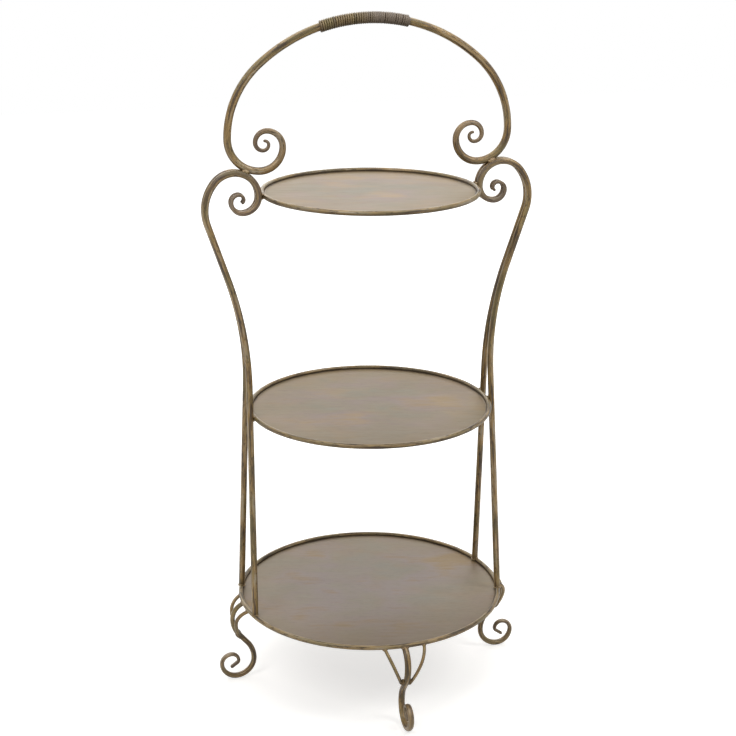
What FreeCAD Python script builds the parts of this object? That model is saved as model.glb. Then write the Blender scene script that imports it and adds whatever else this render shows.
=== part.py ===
import FreeCAD
import Part
import math
import os

# Driving dimensions in millimetres: the floor is Z = 0, X runs across the handle and -Y is the front

# Shelves, measured over the rim and up to the middle of the rim rod
lower_shelf_diameter = 420.0
middle_shelf_diameter = 376.0
top_shelf_diameter = 328.0
lower_shelf_height = 134.0
middle_shelf_height = 446.0
top_shelf_height = 782.0
rim_rod_diameter = 8.0
plate_thickness = 1.5
plate_drop = 2.2
plate_clearance = 0.1

# Room left for the weld metal where two rods lie against each other
weld_gap = 0.2
weld_bead_radius = 3.6

# Uprights: round rods with a curl at the top and a waist at a share of the upper bay's height
upright_diameter = 9.0
upright_tip_diameter = 4.0
upright_stance = 56.5
upright_seat = 2.3
waist_share = 0.39
flank_radius = 65.0
shoulder_radius = 37.0
shoulder_turn = 50.0
upright_curl_radius = 35.5
upright_curl_shrink = 0.68
upright_curl_quarters = 5

# Handle: an arch that ends in two upward curls
handle_diameter = 11.0
handle_tip_diameter = 3.6
handle_half_width = 212.5
arch_side_radius = 140.0
arch_side_turn = 48.75
heel_radius = 47.0
handle_curl_radius = 34.0
handle_curl_shrink = 0.7
handle_curl_quarters = 6

# Wire wound round the crown of the handle
grip_wire_diameter = 3.0
grip_length = 137.0
grip_offset = -10.0
grip_turns = 24

# Feet: flattened bar, bowed out under the rim and rolled into a scroll on the floor
foot_bar_width = 8.8
foot_bar_thickness = 6.6
foot_tip_share = 0.62
foot_start_drop = 3.5
foot_start_angle = 70.0
foot_knee_radius = 28.0
foot_shin_length = 20.0
foot_lean = 40.0
foot_heel_radius = 29.0
foot_toe_radius = 23.0
foot_instep_radius = 13.5
foot_inner_radius = 10.5
foot_tail_radius = 5.0
foot_tail_turn = 55.0
foot_tail_length = 13.0

# Braces beside each foot
brace_diameter = 5.5
brace_spread = 30.5

# Sizes that follow from the driving dimensions
rim_radius = rim_rod_diameter / 2
lower_rim_circle = lower_shelf_diameter / 2 - rim_radius
upright_radius = upright_diameter / 2
pair_offset = upright_radius + weld_gap / 2
handle_radius = handle_diameter / 2


def point(x, z, y=0.0):
    return FreeCAD.Vector(x, y, z)


def heading(degrees):
    angle = math.radians(degrees)
    return FreeCAD.Vector(math.cos(angle), 0, math.sin(angle))


def bend(start, direction, new_direction, radius):
    # Arc that leaves start along direction and ends along new_direction
    turn = direction.getAngle(new_direction)
    inward = new_direction - direction * direction.dot(new_direction)
    inward.normalize()
    centre = start + inward * radius

    def at(angle):
        return centre - inward * (radius * math.cos(angle)) + direction * (radius * math.sin(angle))

    return Part.Arc(start, at(turn / 2), at(turn)).toShape(), at(turn)


def chain(start, first_heading, steps):
    # Edges of a flat path: each step is (radius, heading at its end) or (None, length of a straight)
    edges = []
    here = start
    degrees = first_heading
    for radius, value in steps:
        if radius is None:
            there = here + heading(degrees) * value
            edges.append(Part.LineSegment(here, there).toShape())
        else:
            edge, there = bend(here, heading(degrees), heading(value), radius)
            edges.append(edge)
            degrees = value
        here = there
    return edges, here, degrees


def section(edge, at_end, width, thickness):
    # Round or oval outline square to an edge of a path in the XZ plane, its width along Y
    parameter = edge.LastParameter if at_end else edge.FirstParameter
    middle = edge.valueAt(parameter)
    tangent = edge.tangentAt(parameter)
    if width == thickness:
        curve = Part.Circle(middle, tangent, width / 2)
    else:
        across = FreeCAD.Vector(0, 1, 0)
        half_axes = [across * (width / 2), tangent.cross(across) * (thickness / 2)]
        shorter, longer = sorted(half_axes, key=lambda axis: axis.Length)
        curve = Part.Ellipse(middle + longer, middle + shorter, middle)
    return Part.Wire([curve.toShape()])


def bar(edges, width, thickness):
    # Bar of one section along a whole path
    return Part.Wire(edges).makePipeShell([section(edges[0], False, width, thickness)], True, False)


def tapered_bar(edges, width, thickness, tip_share):
    # Bar that narrows evenly along its path to a rounded tip
    lengths = [edge.Length for edge in edges]
    total = sum(lengths)
    pieces = []
    done = 0.0
    for edge, length in zip(edges, lengths):
        near = 1 - (1 - tip_share) * done / total
        far = 1 - (1 - tip_share) * (done + length) / total
        outlines = [
            section(edge, False, width * near, thickness * near),
            section(edge, True, width * far, thickness * far),
        ]
        pieces.append(Part.Wire([edge]).makePipeShell(outlines, True, False))
        done += length
    return pieces


def rounded_tip(edge, diameter):
    return Part.makeSphere(diameter / 2, edge.valueAt(edge.LastParameter))


def join(pieces):
    return pieces[0].multiFuse(pieces[1:]).Solids[0]


def mirrored(shape, axis):
    return shape.mirror(FreeCAD.Vector(0, 0, 0), axis)


def rim_ring(diameter, height, room=0.0):
    ring = Part.makeTorus(diameter / 2 - rim_radius, rim_radius + room)
    ring.translate(FreeCAD.Vector(0, 0, height))
    return ring


def save(name, shape):
    shape.exportStep("parts/" + name + ".step")
    volume = round(shape.Volume, 1)
    print(name, "solids", len(shape.Solids), "valid", shape.isValid(), "volume", volume)


# Shelves: a ring of round rod with a sheet disc set inside it, below the middle of the rod
def shelf_plate(diameter, height):
    radius = diameter / 2 - rim_rod_diameter - plate_clearance
    disc = Part.makeCylinder(radius, plate_thickness)
    disc.translate(FreeCAD.Vector(0, 0, height - plate_drop - plate_thickness))
    return disc


# Uprights: the curl touches the top rim, the leg lies on the middle rim and stands on the lower rim
curl_inner_x = math.sqrt((top_shelf_diameter / 2 + upright_radius + weld_gap) ** 2 - pair_offset**2)
curl_centre_x = curl_inner_x + upright_curl_radius
curl_top_z = top_shelf_height + upright_curl_radius
shoulder_end = 180.0 - shoulder_turn
flank_centre = point(curl_centre_x, curl_top_z - shoulder_radius)
flank_centre -= heading(shoulder_end - 90.0) * (flank_radius - shoulder_radius)
waist_height = middle_shelf_height + waist_share * (top_shelf_height - middle_shelf_height)


def curl_steps(first_heading, turn, radius, shrink, quarters):
    return [(radius * shrink**n, first_heading + turn * (n + 1)) for n in range(quarters)]


def upright():
    # The right rear upright: its waist bend reaches half way up the flank and as far down the leg
    foot_x = math.sqrt(lower_rim_circle**2 - upright_stance**2)
    foot = point(foot_x, lower_shelf_height + upright_seat, upright_stance)
    rise = (middle_shelf_height - foot.z) / (waist_height - foot.z)
    middle_y = upright_stance + (pair_offset - upright_stance) * rise
    middle_x = math.sqrt((middle_shelf_diameter / 2 + upright_radius + weld_gap) ** 2 - middle_y**2)
    waist = point(foot.x + (middle_x - foot.x) / rise, waist_height, pair_offset)
    leg_direction = waist - foot
    leg_direction.normalize()

    to_flank = flank_centre - point(waist.x, waist.z)
    flank_bearing = math.atan2(to_flank.z, to_flank.x)
    flank_heading = math.degrees(flank_bearing - math.asin(flank_radius / to_flank.Length))
    flank_direction = heading(flank_heading)
    flank_length = math.sqrt(to_flank.Length**2 - flank_radius**2) / 2
    waist_start = waist - leg_direction * flank_length
    waist_radius = flank_length / math.tan(leg_direction.getAngle(flank_direction) / 2)
    waist_edge, waist_end = bend(waist_start, leg_direction, flank_direction, waist_radius)

    leg = Part.LineSegment(foot, waist_start).toShape()
    upper_steps = [
        (None, flank_length),
        (flank_radius, shoulder_end),
        (shoulder_radius, 180.0),
        (upright_curl_radius, 270.0),
    ]
    upper, curl_start, curl_heading = chain(waist_end, flank_heading, upper_steps)
    inner_radius = upright_curl_radius * upright_curl_shrink
    inner_steps = curl_steps(curl_heading, 90.0, inner_radius, upright_curl_shrink, upright_curl_quarters)
    inner, _, _ = chain(curl_start, curl_heading, inner_steps)

    outline = Part.Wire([Part.Circle(foot, leg_direction, upright_radius).toShape()])
    rod = Part.Wire([leg, waist_edge] + upper).makePipeShell([outline], True, False)
    curl = tapered_bar(inner, upright_diameter, upright_diameter, upright_tip_diameter / upright_diameter)
    whole = join([rod] + curl + [rounded_tip(inner[-1], upright_tip_diameter)])
    return whole.cut(rim_ring(lower_shelf_diameter, lower_shelf_height, weld_gap)).Solids[0]


# Handle: its heels lie in the groove between the two curls of each side
groove = math.sqrt((handle_radius + upright_radius + weld_gap) ** 2 - pair_offset**2)
heel_x = handle_half_width - heel_radius
heel_reach = heel_radius + upright_curl_radius + groove
heel_z = top_shelf_height + math.sqrt(heel_reach**2 - (curl_centre_x - heel_x) ** 2)
arch_turn = 90.0 - arch_side_turn
crown_share = heading(arch_turn)
arch_crown_radius = arch_side_radius + (handle_half_width - arch_side_radius) / crown_share.z
crown_z = heel_z + arch_crown_radius - (arch_crown_radius - arch_side_radius) * crown_share.x


def handle_arch():
    steps = [
        (heel_radius, 90.0),
        (arch_side_radius, arch_turn),
        (arch_crown_radius, -arch_turn),
        (arch_side_radius, -90.0),
        (heel_radius, -180.0),
    ]
    arch, end, end_heading = chain(point(-heel_x, heel_z - heel_radius), 180.0, steps)
    quarters = handle_curl_quarters
    inner_steps = curl_steps(end_heading, -90.0, handle_curl_radius, handle_curl_shrink, quarters)
    inner, _, _ = chain(end, end_heading, inner_steps)
    curl = tapered_bar(inner, handle_diameter, handle_diameter, handle_tip_diameter / handle_diameter)
    curl.append(rounded_tip(inner[-1], handle_tip_diameter))
    other_curl = [mirrored(piece, FreeCAD.Vector(1, 0, 0)) for piece in curl]
    return join([bar(arch, handle_diameter, handle_diameter)] + curl + other_curl)


# Weld beads in the crotches between the handle's heels and the side curls, front and rear
def handle_welds():
    heel_centre = point(heel_x, heel_z)
    curl_centre = point(curl_centre_x, top_shelf_height)
    along = heel_centre - curl_centre
    along.normalize()
    handle_middle = curl_centre + along * (upright_curl_radius + groove)
    rod_middle = curl_centre + along * upright_curl_radius + FreeCAD.Vector(0, pair_offset, 0)
    between = handle_middle - rod_middle
    between.normalize()
    touch = rod_middle + between * (upright_radius + weld_gap / 2)
    outward = between.cross(along.cross(FreeCAD.Vector(0, 1, 0)))
    if outward.y < 0:
        outward = outward * -1
    outward.normalize()
    bead = Part.makeSphere(weld_bead_radius, touch + outward * weld_bead_radius / 2)
    heel = Part.makeTorus(heel_radius, handle_radius + weld_gap, heel_centre, FreeCAD.Vector(0, 1, 0))
    curl = Part.makeTorus(
        upright_curl_radius,
        upright_radius + weld_gap,
        curl_centre + FreeCAD.Vector(0, pair_offset, 0),
        FreeCAD.Vector(0, 1, 0),
    )
    bead = bead.cut([heel, curl]).Solids[0]
    rear = [bead, mirrored(bead, FreeCAD.Vector(1, 0, 0))]
    return Part.Compound(rear + [mirrored(one, FreeCAD.Vector(0, 1, 0)) for one in rear])


# Wire winding: a helix round the curved crown, as arcs joined in pairs
def winding_at(turns):
    # Place and direction on the winding after some turns
    helix_radius = handle_radius + weld_gap + grip_wire_diameter / 2
    tilt = (grip_offset - grip_length / 2 + grip_length * turns / grip_turns) / arch_crown_radius
    tilt_rate = grip_length / grip_turns / arch_crown_radius
    spin = 2 * math.pi * turns
    out = FreeCAD.Vector(math.sin(tilt), 0, math.cos(tilt))
    onward = FreeCAD.Vector(math.cos(tilt), 0, -math.sin(tilt))
    side = FreeCAD.Vector(0, 1, 0)
    reach = arch_crown_radius + helix_radius * math.cos(spin)
    place = point(0, crown_z - arch_crown_radius) + out * reach + side * (helix_radius * math.sin(spin))
    direction = (
        onward * (reach * tilt_rate)
        + (side * math.cos(spin) - out * math.sin(spin)) * (helix_radius * 2 * math.pi)
    )
    direction.normalize()
    return place, direction


def biarc(start, leaving, end, arriving):
    # Two arcs that meet smoothly and have the same tangent length
    gap = end - start
    both = leaving + arriving
    a = 2 * (1 - leaving.dot(arriving))
    b = gap.dot(both)
    tangent = (-b + math.sqrt(b * b + a * gap.dot(gap))) / a
    corner = start + leaving * tangent
    far_corner = end - arriving * tangent
    join_direction = far_corner - corner
    join_direction.normalize()
    middle = corner + join_direction * tangent
    edges = []
    for here, before, after in ((start, leaving, join_direction), (middle, join_direction, arriving)):
        radius = tangent / math.tan(before.getAngle(after) / 2)
        edges.append(bend(here, before, after, radius)[0])
    return edges


def handle_wire_wrap():
    quarters = 4 * grip_turns
    stations = [winding_at(n / 4) for n in range(quarters + 1)]
    edges = []
    for (start, leaving), (end, arriving) in zip(stations, stations[1:]):
        edges += biarc(start, leaving, end, arriving)
    first, first_direction = stations[0]
    last, last_direction = stations[-1]
    lead = first - first_direction * grip_wire_diameter
    edges.insert(0, Part.LineSegment(lead, first).toShape())
    edges.append(Part.LineSegment(last, last + last_direction * grip_wire_diameter).toShape())
    outline = Part.Wire([Part.Circle(lead, first_direction, grip_wire_diameter / 2).toShape()])
    points_per_turn = 24
    places = [winding_at(n / points_per_turn)[0] for n in range(points_per_turn * grip_turns + 1)]
    half_turn = points_per_turn // 2
    nearest = min(
        places[i].distanceToPoint(places[j])
        for i in range(len(places))
        for j in range(i + half_turn, min(i + 3 * half_turn, len(places)))
    )
    print("least gap between turns of the winding", round(nearest - grip_wire_diameter, 2), "mm")
    return Part.Wire(edges).makePipeShell([outline], True, False)


# Feet and braces, built on the right side and turned to each of the four places
def foot_top_steps():
    # The bow under the rim, and the shin from there to the floor
    lean = math.radians(foot_lean)
    other_drops = (
        foot_start_drop
        + foot_knee_radius * math.sin(math.radians(foot_start_angle))
        + foot_shin_length * math.cos(lean)
        + foot_heel_radius
        + foot_bar_thickness / 2
    )
    bow_radius = (lower_shelf_height - other_drops) / (2 * math.sin(lean))
    bow = [(foot_knee_radius, -90.0), (bow_radius, -90.0 - foot_lean)]
    return bow, [(None, foot_shin_length), (bow_radius, -90.0), (foot_heel_radius, 0.0)]


def foot():
    bow, shin = foot_top_steps()
    start = point(lower_rim_circle, lower_shelf_height - foot_start_drop)
    upper, floor_point, floor_heading = chain(start, foot_start_angle - 90.0, bow + shin)
    roll_steps = [
        (foot_toe_radius, 90.0),
        (foot_instep_radius, 180.0),
        (foot_inner_radius, 270.0),
        (foot_tail_radius, 270.0 + foot_tail_turn),
        (None, foot_tail_length),
    ]
    roll, _, _ = chain(floor_point, floor_heading, roll_steps)
    pieces = [bar(upper, foot_bar_width, foot_bar_thickness)]
    pieces += tapered_bar(roll, foot_bar_width, foot_bar_thickness, foot_tip_share)
    return join(pieces).cut(rim_ring(lower_shelf_diameter, lower_shelf_height, weld_gap)).Solids[0]


def foot_brace():
    # The brace on the +Y side of the right foot, flat in a plane that leans to the foot
    bow, _ = foot_top_steps()
    start_z = lower_shelf_height - foot_start_drop
    _, bow_end, _ = chain(point(lower_rim_circle, start_z), foot_start_angle - 90.0, bow)
    end_y = foot_bar_width / 2 + brace_diameter / 2 + weld_gap
    start = point(math.sqrt(lower_rim_circle**2 - brace_spread**2), start_z, brace_spread)
    down = FreeCAD.Vector(0, end_y - brace_spread, bow_end.z - start_z)
    slant = down.Length
    down.normalize()
    outward = FreeCAD.Vector(1, 0, 0)
    start_angle = math.radians(foot_start_angle)
    start_direction = outward * math.sin(start_angle) + down * math.cos(start_angle)
    knee, knee_end = bend(start, start_direction, down, foot_knee_radius)
    fall = slant - foot_knee_radius * math.sin(start_angle)
    lean = 2 * math.atan2(knee_end.x - bow_end.x, fall)
    end_direction = down * math.cos(lean) - outward * math.sin(lean)
    shank, _ = bend(knee_end, down, end_direction, abs(fall / math.sin(lean)))
    outline = Part.Wire([Part.Circle(start, start_direction, brace_diameter / 2).toShape()])
    rod = Part.Wire([knee, shank]).makePipeShell([outline], True, False)
    return rod.cut(rim_ring(lower_shelf_diameter, lower_shelf_height, weld_gap)).Solids[0]


def turned(shape, degrees):
    copy = shape.copy()
    copy.rotate(FreeCAD.Vector(0, 0, 0), FreeCAD.Vector(0, 0, 1), degrees)
    return copy


os.makedirs("parts", exist_ok=True)

shelves = {
    "top": (top_shelf_diameter, top_shelf_height),
    "middle": (middle_shelf_diameter, middle_shelf_height),
    "lower": (lower_shelf_diameter, lower_shelf_height),
}
for level, (diameter, height) in shelves.items():
    save(level + "_shelf_rim", rim_ring(diameter, height))
    save(level + "_shelf_plate", shelf_plate(diameter, height))

right_rear = upright()
right_front = mirrored(right_rear, FreeCAD.Vector(0, 1, 0))
save("upright_right_rear", right_rear)
save("upright_right_front", right_front)
save("upright_left_rear", mirrored(right_rear, FreeCAD.Vector(1, 0, 0)))
save("upright_left_front", mirrored(right_front, FreeCAD.Vector(1, 0, 0)))

save("handle_arch", handle_arch())
save("handle_wire_wrap", handle_wire_wrap())
save("handle_welds", handle_welds())

right_foot = foot()
brace = foot_brace()
other_brace = mirrored(brace, FreeCAD.Vector(0, 1, 0))
foot_places = {
    "right": (0, "rear", "front"),
    "rear": (90, "left", "right"),
    "left": (180, "front", "rear"),
    "front": (270, "right", "left"),
}
for place, (degrees, brace_side, other_side) in foot_places.items():
    save("foot_" + place, turned(right_foot, degrees))
    save("foot_brace_" + place + "_" + brace_side, turned(brace, degrees))
    save("foot_brace_" + place + "_" + other_side, turned(other_brace, degrees))
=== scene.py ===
import math
import random

import bmesh
import bpy
import numpy as np
from mathutils import Matrix, Vector, noise


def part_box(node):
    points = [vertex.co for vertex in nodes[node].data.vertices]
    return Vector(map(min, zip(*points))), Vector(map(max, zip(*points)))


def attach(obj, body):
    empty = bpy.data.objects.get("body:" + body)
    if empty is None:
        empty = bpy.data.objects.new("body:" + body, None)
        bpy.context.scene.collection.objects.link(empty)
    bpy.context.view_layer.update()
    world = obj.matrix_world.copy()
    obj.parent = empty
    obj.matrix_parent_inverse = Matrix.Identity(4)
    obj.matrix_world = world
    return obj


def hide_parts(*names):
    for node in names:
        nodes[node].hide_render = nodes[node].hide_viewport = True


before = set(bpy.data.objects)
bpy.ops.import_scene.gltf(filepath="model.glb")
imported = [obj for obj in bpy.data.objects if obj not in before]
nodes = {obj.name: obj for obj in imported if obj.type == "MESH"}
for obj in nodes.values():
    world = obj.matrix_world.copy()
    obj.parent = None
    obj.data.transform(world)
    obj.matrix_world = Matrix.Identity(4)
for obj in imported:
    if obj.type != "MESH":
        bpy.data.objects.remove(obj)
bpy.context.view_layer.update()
metres = 0.001  # sizes are in millimetres, apart from the studio, and become metres in the meshes
print("frame loaded:", len(nodes), "nodes")


# Paths: a list of points with the direction at its end
def heading(degrees):
    angle = math.radians(degrees)
    return Vector((math.cos(angle), 0, math.sin(angle)))


def startPath(place, direction):
    return {"points": [Vector(place)], "direction": Vector(direction).normalized()}


def runStraight(path, length):
    count = max(1, round(length / sweep["ringStep"]))
    start = path["points"][-1]
    path["points"] += [start + path["direction"] * (length * n / count) for n in range(1, count + 1)]


def bendTo(path, direction, radius):
    start = path["points"][-1]
    ahead = path["direction"]
    direction = Vector(direction).normalized()
    turn = ahead.angle(direction)
    inward = (direction - ahead * ahead.dot(direction)).normalized()
    steps = max(turn / math.radians(sweep["ringTurn"]), radius * turn / sweep["ringStep"])
    count = max(2, math.ceil(steps))
    centre = start + inward * radius
    for n in range(1, count + 1):
        angle = turn * n / count
        back, onward = radius * math.cos(angle), radius * math.sin(angle)
        path["points"].append(centre - inward * back + ahead * onward)
    path["direction"] = direction


def curl(path, firstHeading, turn, radius, shrink, quarters):
    for n in range(math.ceil(quarters)):
        bendTo(path, heading(firstHeading + turn * min(n + 1, quarters)), radius * shrink**n)


def lengthsAlong(points):
    lengths = [0.0]
    for a, b in zip(points, points[1:]):
        lengths.append(lengths[-1] + (b - a).length)
    return lengths


def taperFrom(points, firstThin, tipShare, bulge=1.0):
    lengths = lengthsAlong(points)
    thinLength = lengths[-1] - lengths[firstThin]
    return [1 - (1 - tipShare) * (max(0, at - lengths[firstThin]) / thinLength) ** bulge for at in lengths]


def turned(points, degrees):
    spin = Matrix.Rotation(math.radians(degrees), 3, "Z")
    return [spin @ p for p in points]


def mirrored(points, x=1, y=1):
    return [Vector((p.x * x, p.y * y, p.z)) for p in points]


# Rods: rings of points round a path, with the place along and round the rod kept for the paint
sweep = {
    "ringStep": 2.0, "ringTurn": 5.0, "sides": 28, "capRings": 5, "dentSize": 11.0, "dentDepth": 0.09,
    "apart": 1000.0,  # how far the paint of one rod lies from that of the next
}
plain = (0.0, 0.0)  # how much umber and painted shade lie on a point, and how dull the wax is there


def clamped(value):
    return min(1.0, max(0.0, value))


def finishMesh(name, verts, faces, rodSpace, shades, material, slot, replaced=()):
    mesh = bpy.data.meshes.new(name)
    mesh.from_pydata([v * metres for v in verts], [], faces)
    mesh.validate()
    mesh.shade_smooth()
    space = mesh.attributes.new("rodSpace", "FLOAT_VECTOR", "POINT")
    space.data.foreach_set("vector", [c * metres for p in rodSpace for c in p])
    for n, share in enumerate(("umberAndShade", "dulling")):
        values = mesh.attributes.new(share, "FLOAT", "POINT")
        values.data.foreach_set("value", [pair[n] for pair in shades])
    mesh.materials.append(material)
    piece = bpy.data.objects.new(name, mesh)
    bpy.context.scene.collection.objects.link(piece)
    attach(piece, "root")
    if replaced:
        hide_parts(*replaced)
    return piece


def sweepRod(points, scales, width, thickness, across, seed, closed=False, roundEnds=(True, True), sides=None,
             dents=True, shade=None, flats=None):
    sides = sides or sweep["sides"]
    count = len(points)
    flats = flats or [1.0] * count  # how much thinner the bar is at a point than its width tells
    tangents = []
    for i in range(count):
        before = points[i - 1] if closed or i > 0 else points[i]
        after = points[(i + 1) % count] if closed or i < count - 1 else points[i]
        tangents.append((after - before).normalized())
    side = (Vector(across) - tangents[0] * tangents[0].dot(Vector(across))).normalized()
    sideways = [side]
    for a, b in zip(tangents, tangents[1:]):
        side = a.rotation_difference(b) @ side
        sideways.append((side - b * b.dot(side)).normalized())
    lengths = lengthsAlong(points)
    start = seed * sweep["apart"]
    verts, faces, space, shades = [], [], [], []

    def addRing(i, shift, shrink):
        centre = points[i] + tangents[i] * shift
        other = tangents[i].cross(sideways[i])
        along = start + lengths[i] + shift
        for n in range(sides):
            angle = 2 * math.pi * n / sides
            x = width / 2 * scales[i] * shrink * math.cos(angle)
            y = thickness / 2 * scales[i] * flats[i] * shrink * math.sin(angle)
            if dents:
                grain = Vector((along, width * math.cos(angle), width * math.sin(angle))) / sweep["dentSize"]
                dent = 1 + sweep["dentDepth"] * 2 / width * noise.noise(grain)
                x, y = x * dent, y * dent
            verts.append(centre + sideways[i] * x + other * y)
            space.append((along, x, y))
            shades.append(shade(lengths[i], lengths[-1], angle) if shade else plain)

    def addPole(i, shift):
        verts.append(points[i] + tangents[i] * shift)
        space.append((start + lengths[i] + shift, 0, 0))
        shades.append(shade(lengths[i], lengths[-1], 0.0) if shade else plain)

    caps = [math.radians(90 * (n + 1) / (sweep["capRings"] + 1)) for n in range(sweep["capRings"])]
    rounding = thickness / 2
    if not closed and roundEnds[0]:
        addPole(0, -rounding * scales[0] * flats[0])
        for angle in reversed(caps):
            addRing(0, -rounding * scales[0] * flats[0] * math.sin(angle), math.cos(angle))
    for i in range(count):
        addRing(i, 0.0, 1.0)
    if not closed and roundEnds[1]:
        for angle in caps:
            addRing(count - 1, rounding * scales[-1] * flats[-1] * math.sin(angle), math.cos(angle))
        addPole(count - 1, rounding * scales[-1] * flats[-1])

    first = 1 if not closed and roundEnds[0] else 0
    rings = (len(verts) - first) // sides
    for i in range(rings if closed else rings - 1):
        here, there = first + i * sides, first + (i + 1) % rings * sides
        for n in range(sides):
            m = (n + 1) % sides
            faces.append((here + n, here + m, there + m, there + n))
    if not closed:
        last = first + (rings - 1) * sides
        for begin, pole, isStart in ((first, 0, True), (last, len(verts) - 1, False)):
            ring = [begin + n for n in range(sides)]
            ring = ring[::-1] if isStart else ring
            if roundEnds[0 if isStart else 1]:
                faces += [(ring[n], ring[(n + 1) % sides], pole) for n in range(sides)]
            else:
                faces.append(tuple(ring))
    return verts, faces, space, shades


def joinData(parts):
    verts, faces, space, shades = [], [], [], []
    for part in parts:
        first = len(verts)
        verts += part[0]
        faces += [[first + i for i in face] for face in part[1]]
        space += part[2]
        shades += part[3]
    return verts, faces, space, shades


# Nodes of a material: one function adds a node with its settings, inputs and colour stops
def hexToLinear(code):
    shares = [int(code[n:n + 2], 16) / 255 for n in (1, 3, 5)]
    return [s / 12.92 if s <= 0.04045 else ((s + 0.055) / 1.055) ** 2.4 for s in shares] + [1.0]


def addNode(tree, kind, settings=None, inputs=None, stops=None):
    node = tree.nodes.new(kind)
    for name, value in (settings or {}).items():
        setattr(node, name, value)
    for key, value in (inputs or {}).items():
        if isinstance(value, bpy.types.NodeSocket):
            tree.links.new(value, node.inputs[key])
        else:
            node.inputs[key].default_value = value
    if stops:
        ramp = node.color_ramp
        while len(ramp.elements) < len(stops):
            ramp.elements.new(1.0)
        for element, (position, code) in zip(ramp.elements, stops):
            element.position = position
            element.color = hexToLinear(code)
    return node


def newMaterial(name):
    material = bpy.data.materials.new(name)
    material.use_nodes = True
    material.node_tree.nodes.clear()
    return material, material.node_tree


# Brushed patterns and the last steps are alike in the rod and sheet paints
def brushPattern(tree, place, size, roughness):
    across = 1 / (size["width"] * metres)
    scaled = addNode(tree, "ShaderNodeVectorMath", {"operation": "MULTIPLY_ADD"}, {
        0: place, 1: (1 / (size["length"] * metres), across, across), 2: (size["shift"],) * 3,
    }).outputs[0]
    return addNode(tree, "ShaderNodeTexNoise", {"noise_dimensions": "3D"}, {
        "Vector": scaled, "Scale": 1.0, "Detail": size["detail"], "Roughness": roughness,
    }).outputs["Fac"]


def finishPaint(tree, look, colour, metallic, roughness, height):
    bump = addNode(tree, "ShaderNodeBump", None, {
        "Height": height, "Strength": look["bumpStrength"], "Distance": look["bumpHeight"] * metres,
    }).outputs["Normal"]
    shader = addNode(tree, "ShaderNodeBsdfPrincipled", None, {
        "Base Color": colour, "Metallic": metallic, "Roughness": roughness, "Normal": bump,
    })
    addNode(tree, "ShaderNodeOutputMaterial", None, {"Surface": shader.outputs[0]})


# Steel rod, brushed with umber enamel and rubbed with gold wax: streaks along it, and the corners darkened with
# painted shade over some umber left there
rodPaint = {
    "streak": {"length": 60.0, "width": 4.0, "detail": 3.0, "shift": 0.0},
    "patch": {"length": 60.0, "width": 20.0, "detail": 2.0, "shift": 7.3},
    "fleck": {"length": 9.0, "width": 1.8, "detail": 2.0, "shift": 3.1},
    # the real grit is near 0.3 and too fine to show, so it is drawn coarser
    "grain": {"length": 1.6, "width": 1.6, "detail": 1.0, "shift": 5.7},
    "noiseRoughness": 0.6,
    "umber": "#332511", "brown": "#634e31", "gold": "#a08250", "dust": "#9d9079",
    "olive": "#7a6d41", "mauve": "#79695e",
    "rubbed": {"umber": 0.35, "brown": 0.44, "gold": 0.54, "dust": 0.65},  # where each colour lies on a streak
    "patchFrom": 0.45, "patchTo": 0.65, "patchMost": 0.55,
    "fleckFrom": 0.54, "fleckTo": 0.71, "fleckMost": 0.9,
    "pigmentFrom": 0.45, "pigmentTo": 0.65, "pigmentLeast": 0.05, "pigmentMost": 0.25,
    "wornFrom": 0.3, "wornTo": 0.7, "roughUmber": 0.46, "roughWax": 0.33, "pooledRough": 0.4,
    "grainRelief": 0.2, "bumpStrength": 0.5, "bumpHeight": 0.05,
}


def makeRodPaint(name, look):
    material, tree = newMaterial(name)
    place = addNode(tree, "ShaderNodeAttribute", {"attribute_name": "rodSpace"}).outputs["Vector"]
    # this attribute holds umber and painted shade: corners, contacts, the inner rim and undersides
    umberAndShade = addNode(tree, "ShaderNodeAttribute", {"attribute_name": "umberAndShade"}).outputs["Fac"]
    dulling = addNode(tree, "ShaderNodeAttribute", {"attribute_name": "dulling"}).outputs["Fac"]
    streaks, patches, flecks, grain = (
        brushPattern(tree, place, look[kind], look["noiseRoughness"])
        for kind in ("streak", "patch", "fleck", "grain")
    )
    rubbed = addNode(tree, "ShaderNodeValToRGB", None, {"Fac": streaks}, [
        (at, look[colour]) for colour, at in look["rubbed"].items()
    ]).outputs["Color"]
    shares = {}
    for most, value, begin, end in (
        ("patchMost", patches, look["patchFrom"], look["patchTo"]),
        ("fleckMost", flecks, look["fleckFrom"], look["fleckTo"]),
    ):
        shares[most] = addNode(tree, "ShaderNodeMapRange", {"interpolation_type": "SMOOTHSTEP"}, {
            "Value": value, "From Min": begin, "From Max": end, "To Min": 0.0, "To Max": look[most],
        }).outputs[0]
    # flecks are real umber; the attribute adds painted shade in corners and under parts
    stainAndShade = addNode(tree, "ShaderNodeMath", {"operation": "MAXIMUM"}, {
        0: shares["fleckMost"], 1: umberAndShade,
    }).outputs[0]
    colour = rubbed
    for share, coat in ((shares["patchMost"], "olive"), (dulling, "mauve"), (stainAndShade, "umber")):
        colour = addNode(tree, "ShaderNodeMix", {"data_type": "RGBA"}, {
            0: share, 6: colour, 7: hexToLinear(look[coat]),
        }).outputs[2]
    pigment = addNode(tree, "ShaderNodeMapRange", None, {
        "Value": streaks, "From Min": look["pigmentFrom"], "From Max": look["pigmentTo"],
        "To Min": look["pigmentLeast"], "To Max": look["pigmentMost"],
    }).outputs[0]
    worn = addNode(tree, "ShaderNodeMapRange", None, {
        "Value": streaks, "From Min": look["wornFrom"], "From Max": look["wornTo"],
        "To Min": look["roughUmber"], "To Max": look["roughWax"],
    }).outputs[0]
    roughness = addNode(tree, "ShaderNodeMath", {"operation": "MULTIPLY_ADD"}, {
        0: umberAndShade, 1: look["pooledRough"], 2: worn,
    }).outputs[0]
    relief = addNode(tree, "ShaderNodeMath", {"operation": "MULTIPLY_ADD"}, {
        0: grain, 1: look["grainRelief"], 2: streaks,
    }).outputs[0]
    finishPaint(tree, look, colour, pigment, roughness, relief)
    return material


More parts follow.
